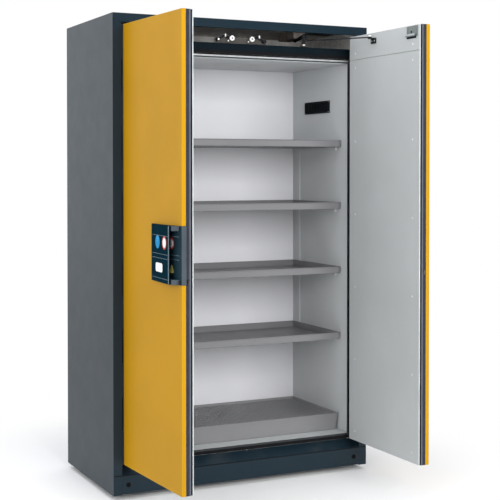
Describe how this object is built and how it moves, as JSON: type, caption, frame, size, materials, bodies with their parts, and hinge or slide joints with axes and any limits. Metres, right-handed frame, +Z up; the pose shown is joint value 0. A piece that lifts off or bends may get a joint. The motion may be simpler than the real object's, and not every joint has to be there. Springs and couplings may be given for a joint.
{
  "type": "flammable storage cabinet",
  "caption": "Tall fire-rated storage cabinet with hinged doors, tray shelves, a sump tray with a perforated insert, door closers, catches and levelling feet.",
  "frame": {"origin": "middle of the carcass footprint, at floor level, on the underside of the base frame's middle skid", "axes": "+Z up, -Y towards the doors, +X to the right of a person who faces the doors"},
  "size_m": [1.193, 1.1629, 2.0083],
  "materials": {
    "anthracite_paint": "fine textured powder coat, dark blue-grey",
    "yellow_paint": "smooth powder coat, warning yellow",
    "light_grey_panel": "hard melamine-faced board, light grey",
    "shelf_paint": "smooth powder coat, light grey",
    "fire_board": "cut mineral fire board",
    "black_rubber": "black heat-swelling and smoke seal",
    "zinc_steel": "zinc-plated sheet and turned steel",
    "black_steel": "black oxidised or painted steel",
    "white_plastic": "white moulded plastic",
    "dark_plastic": "dark grey moulded plastic, fine grain"
  },
  "bodies": {
    "carcass": {"side_panel_left": "anthracite_paint", "side_panel_right": "anthracite_paint", "rear_panel": "anthracite_paint", "roof_panel": "anthracite_paint", "exhaust_spigot": "zinc_steel", "base_frame": "anthracite_paint", "plinth_panel": "anthracite_paint", "fire_board_left": "fire_board", "fire_board_right": "fire_board", "fire_board_rear": "fire_board", "liner_left": "light_grey_panel", "liner_right": "light_grey_panel", "liner_rear": "light_grey_panel", "floor_board": "light_grey_panel", "ceiling_board": "light_grey_panel", "header_plate": "anthracite_paint", "frame_seal": "black_rubber", "vent_grille": "dark_plastic", "shelf_rack_left": "shelf_paint", "shelf_rack_right": "shelf_paint", "sump_tray": "shelf_paint", "catch_bracket": "zinc_steel", "left_closer_body": "black_steel", "right_closer_body": "black_steel"},
    "left_door": {"left_door_skin": "yellow_paint", "left_door_core": "fire_board", "left_hinge_leaf": "black_steel", "left_inner_panel": "light_grey_panel", "left_inner_top_strip": "light_grey_panel", "left_striker_plate": "zinc_steel", "left_closer_bracket": "black_steel", "handle_housing": "dark_plastic"},
    "right_door": {"right_door_skin": "yellow_paint", "right_door_core": "fire_board", "right_hinge_leaf": "black_steel", "right_inner_panel": "light_grey_panel", "right_inner_top_strip": "light_grey_panel", "right_striker_plate": "zinc_steel", "right_closer_bracket": "black_steel"},
    "handle_flap": {"handle_flap": "dark_plastic"},
    "lock_cylinder": {"lock_cylinder": "black_steel"},
    "lock_bolt": {"lock_bolt": "black_steel"},
    "left_closer_arm": {"left_closer_arm": "black_steel"},
    "left_closer_forearm": {"left_closer_forearm": "black_steel"},
    "right_closer_arm": {"right_closer_arm": "black_steel"},
    "right_closer_forearm": {"right_closer_forearm": "black_steel"},
    "left_catch_lever": {"left_catch_lever": "black_steel"},
    "left_catch_roller": {"left_catch_roller": "white_plastic"},
    "right_catch_lever": {"right_catch_lever": "black_steel"},
    "right_catch_roller": {"right_catch_roller": "white_plastic"},
    "shelf_1": {"shelf_1": "shelf_paint"},
    "shelf_2": {"shelf_2": "shelf_paint"},
    "shelf_3": {"shelf_3": "shelf_paint"},
    "shelf_4": {"shelf_4": "shelf_paint"},
    "perforated_insert": {"perforated_insert": "shelf_paint"},
    "levelling_foot_front_left": {"levelling_foot_front_left": "zinc_steel"},
    "levelling_foot_front_right": {"levelling_foot_front_right": "zinc_steel"},
    "levelling_foot_rear_left": {"levelling_foot_rear_left": "zinc_steel"},
    "levelling_foot_rear_right": {"levelling_foot_rear_right": "zinc_steel"}
  },
  "joints": [
    {"name": "left_door_hinge", "type": "hinge", "parent": "carcass", "child": "left_door", "pos_m": [-0.553, -0.3075, 1.016], "axis": [0, 0, -1], "range_deg": [-86.9, 8.1]},
    {"name": "right_door_hinge", "type": "hinge", "parent": "carcass", "child": "right_door", "pos_m": [0.553, -0.3075, 1.016], "axis": [0, 0, 1], "range_deg": [-90.5, 4.5]},
    {"name": "left_closer_pivot", "type": "hinge", "parent": "carcass", "child": "left_closer_arm", "pos_m": [-0.363, -0.0685, 1.9065], "axis": [0, 0, -1], "range_deg": [-87, 8.2]},
    {"name": "left_closer_elbow", "type": "hinge", "parent": "left_closer_arm", "child": "left_closer_forearm", "pos_m": [-0.28634, -0.26364, 1.885], "axis": [0, 0, -1], "range_deg": [-8.2, 87]},
    {"name": "right_closer_pivot", "type": "hinge", "parent": "carcass", "child": "right_closer_arm", "pos_m": [0.363, -0.0685, 1.9065], "axis": [0, 0, 1], "range_deg": [-90.6, 4.6]},
    {"name": "right_closer_elbow", "type": "hinge", "parent": "right_closer_arm", "child": "right_closer_forearm", "pos_m": [0.29874, -0.26807, 1.885], "axis": [0, 0, 1], "range_deg": [-4.6, 90.6]},
    {"name": "left_catch_swing", "type": "hinge", "parent": "carcass", "child": "left_catch_lever", "pos_m": [-0.101, -0.2305, 1.8755], "axis": [0, -1, 0], "range_deg": [-6, 6]},
    {"name": "left_catch_roller_spin", "type": "hinge", "parent": "left_catch_lever", "child": "left_catch_roller", "pos_m": [-0.0385, -0.246, 1.882], "axis": [0, 1, 0], "continuous": true},
    {"name": "right_catch_swing", "type": "hinge", "parent": "carcass", "child": "right_catch_lever", "pos_m": [0.119, -0.2305, 1.8755], "axis": [0, 1, 0], "range_deg": [-6, 6]},
    {"name": "right_catch_roller_spin", "type": "hinge", "parent": "right_catch_lever", "child": "right_catch_roller", "pos_m": [0.0565, -0.246, 1.882], "axis": [0, 1, 0], "continuous": true},
    {"name": "handle_flap_pull", "type": "hinge", "parent": "left_door", "child": "handle_flap", "pos_m": [-0.54064, -0.59856, 1.008], "axis": [0, 0, -1], "range_deg": [0, 15]},
    {"name": "lock_turn", "type": "hinge", "parent": "left_door", "child": "lock_cylinder", "pos_m": [-0.52407, -0.84172, 0.91], "axis": [-0.9985, -0.0541, 0], "range_deg": [0, 90]},
    {"name": "lock_bolt_throw", "type": "slide", "parent": "left_door", "child": "lock_bolt", "axis": [0.0541, -0.9985, 0], "range_m": [0, 0.0261]},
    {"name": "shelf_1_lift", "type": "slide", "parent": "carcass", "child": "shelf_1", "axis": [0, 0, 1], "range_m": [0, 0.03]},
    {"name": "shelf_2_lift", "type": "slide", "parent": "carcass", "child": "shelf_2", "axis": [0, 0, 1], "range_m": [0, 0.03]},
    {"name": "shelf_3_lift", "type": "slide", "parent": "carcass", "child": "shelf_3", "axis": [0, 0, 1], "range_m": [0, 0.03]},
    {"name": "shelf_4_lift", "type": "slide", "parent": "carcass", "child": "shelf_4", "axis": [0, 0, 1], "range_m": [0, 0.03]},
    {"name": "insert_lift", "type": "slide", "parent": "carcass", "child": "perforated_insert", "axis": [0, 0, 1], "range_m": [0, 0.15]},
    {"name": "front_left_foot_screw", "type": "slide", "parent": "carcass", "child": "levelling_foot_front_left", "axis": [0, 0, -1], "range_m": [0, 0.02]},
    {"name": "front_right_foot_screw", "type": "slide", "parent": "carcass", "child": "levelling_foot_front_right", "axis": [0, 0, -1], "range_m": [0, 0.02]},
    {"name": "rear_left_foot_screw", "type": "slide", "parent": "carcass", "child": "levelling_foot_rear_left", "axis": [0, 0, -1], "range_m": [0, 0.02]},
    {"name": "rear_right_foot_screw", "type": "slide", "parent": "carcass", "child": "levelling_foot_rear_right", "axis": [0, 0, -1], "range_m": [0, 0.02]}
  ],
  "couplings": [
    {"joint": "left_closer_pivot", "follows": "left_door_hinge", "ratio": 1},
    {"joint": "left_closer_elbow", "follows": "left_door_hinge", "ratio": -1},
    {"joint": "right_closer_pivot", "follows": "right_door_hinge", "ratio": 1},
    {"joint": "right_closer_elbow", "follows": "right_door_hinge", "ratio": -1},
    {"joint": "lock_bolt_throw", "follows": "lock_turn", "m_per_rad": 0.0166}
  ]
}
